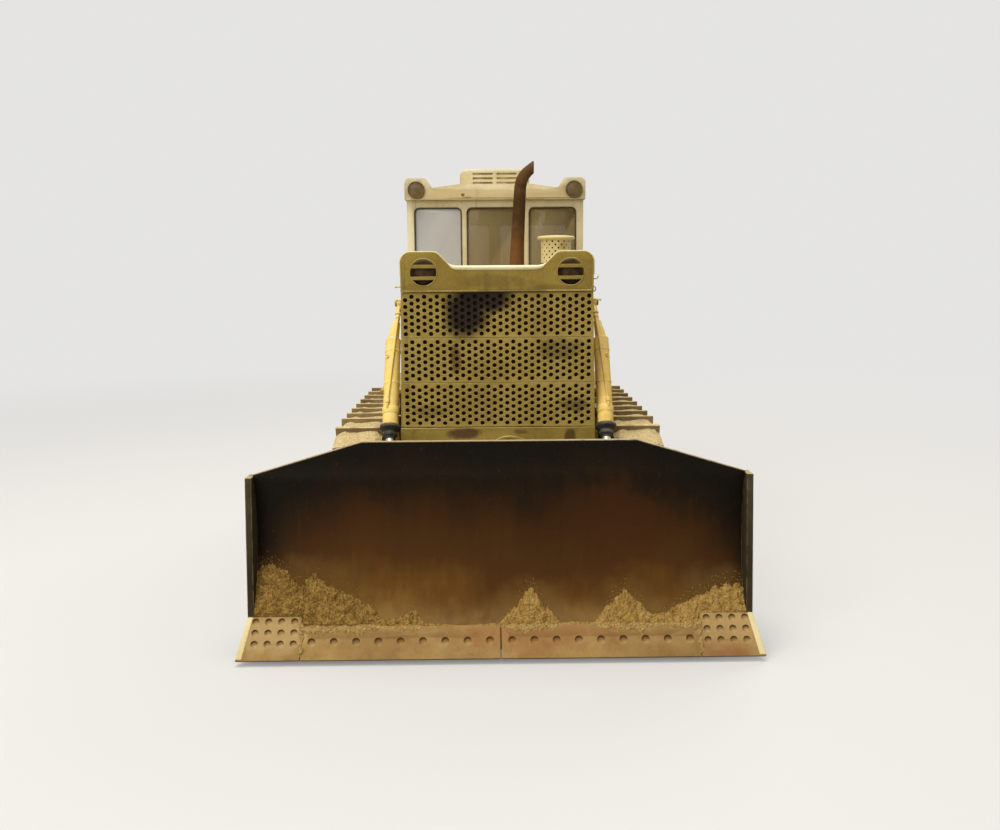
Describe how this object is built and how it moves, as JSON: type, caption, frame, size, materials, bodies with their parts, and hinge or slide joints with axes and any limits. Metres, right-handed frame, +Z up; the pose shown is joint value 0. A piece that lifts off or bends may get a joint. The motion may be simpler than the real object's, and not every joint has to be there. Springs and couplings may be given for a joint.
{
  "type": "bulldozer scale model",
  "caption": "Weathered display model of a tracked bulldozer with a liftable straight blade, lift cylinders, perforated radiator guard and a closed cab with hinged doors.",
  "frame": {"origin": "floor level under the middle of the bounding box", "axes": "+Z up, +Y to the rear along the length, the blade faces -Y, +X to the machine's left"},
  "size_m": [0.1648, 0.228, 0.166],
  "materials": {
    "cream": "dusty cream paint",
    "yellow": "weathered yellow paint",
    "rust": "rust-brown paint with dirt",
    "dark": "matt black",
    "dust": "dusty dark metal paint",
    "silver": "silver paint",
    "lens": "clear lamp lens on silver",
    "glass": "clear styrene, dusty",
    "seat": "matt black seat"
  },
  "bodies": {
    "chassis": {"main_frame": "yellow", "transmission_case": "yellow", "cross_beams": "yellow", "drawbar": "dust", "final_drives": "yellow", "sprockets": "dust", "idlers": "dust", "rollers": "dust", "track_frames": "yellow", "track_left": "dust", "track_right": "dust", "radiator_guard": "yellow", "grille_panels": "yellow", "head_panel": "yellow", "headlamps": "lens", "apron": "yellow", "radiator_core": "dark", "lift_brackets": "yellow", "hood": "yellow", "hood_sides": "yellow", "exhaust_stack": "rust", "pre_cleaner": "yellow", "platform": "dust", "cab_front": "cream", "cab_rear": "cream", "cab_quarters": "cream", "cab_roof": "cream", "cab_glass": "glass", "cab_lamps": "lens", "roof_vent": "cream", "seat": "seat", "console": "dark", "fuel_tank": "yellow"},
    "blade": {"moldboard": "rust", "end_plates": "rust", "cutting_edge": "rust", "end_bits": "rust", "blade_back": "yellow", "push_arms": "yellow", "tilt_braces": "yellow"},
    "cylinder_left": {"barrel_left": "yellow", "gland_left": "dark"},
    "ram_left": {"rod_left": "silver"},
    "cylinder_right": {"barrel_right": "yellow", "gland_right": "dark"},
    "ram_right": {"rod_right": "silver"},
    "door_left": {"door_left": "cream", "door_glass_left": "glass"},
    "door_right": {"door_right": "cream", "door_glass_right": "glass"}
  },
  "joints": [
    {"name": "blade_lift", "type": "hinge", "parent": "chassis", "child": "blade", "pos_m": [0, 0.022, 0.024], "axis": [-1, 0, 0], "range_deg": [-6, 18]},
    {"name": "cylinder_swing_left", "type": "hinge", "parent": "chassis", "child": "cylinder_left", "pos_m": [0.039, -0.0278, 0.1083], "axis": [-1, 0, 0], "range_deg": [-3.5, 9.5]},
    {"name": "ram_slide_left", "type": "slide", "parent": "cylinder_left", "child": "ram_left", "axis": [0, 0.5103, 0.86], "range_m": [-0.00952, 0.02795]},
    {"name": "cylinder_swing_right", "type": "hinge", "parent": "chassis", "child": "cylinder_right", "pos_m": [-0.039, -0.0278, 0.1083], "axis": [-1, 0, 0], "range_deg": [-3.5, 9.5]},
    {"name": "ram_slide_right", "type": "slide", "parent": "cylinder_right", "child": "ram_right", "axis": [0, 0.5103, 0.86], "range_m": [-0.00952, 0.02795]},
    {"name": "door_swing_left", "type": "hinge", "parent": "chassis", "child": "door_left", "pos_m": [0.0392, 0.0627, 0.1093], "axis": [0, 0, 1], "range_deg": [0, 95]},
    {"name": "door_swing_right", "type": "hinge", "parent": "chassis", "child": "door_right", "pos_m": [-0.0392, 0.0627, 0.1093], "axis": [0, 0, -1], "range_deg": [0, 95]}
  ],
  "couplings": [
    {"joint": "cylinder_swing_left", "follows": "blade_lift", "ratio": 0.5},
    {"joint": "ram_slide_left", "follows": "blade_lift", "m_per_rad": 0.088},
    {"joint": "cylinder_swing_right", "follows": "blade_lift", "ratio": 0.5},
    {"joint": "ram_slide_right", "follows": "blade_lift", "m_per_rad": 0.088}
  ]
}
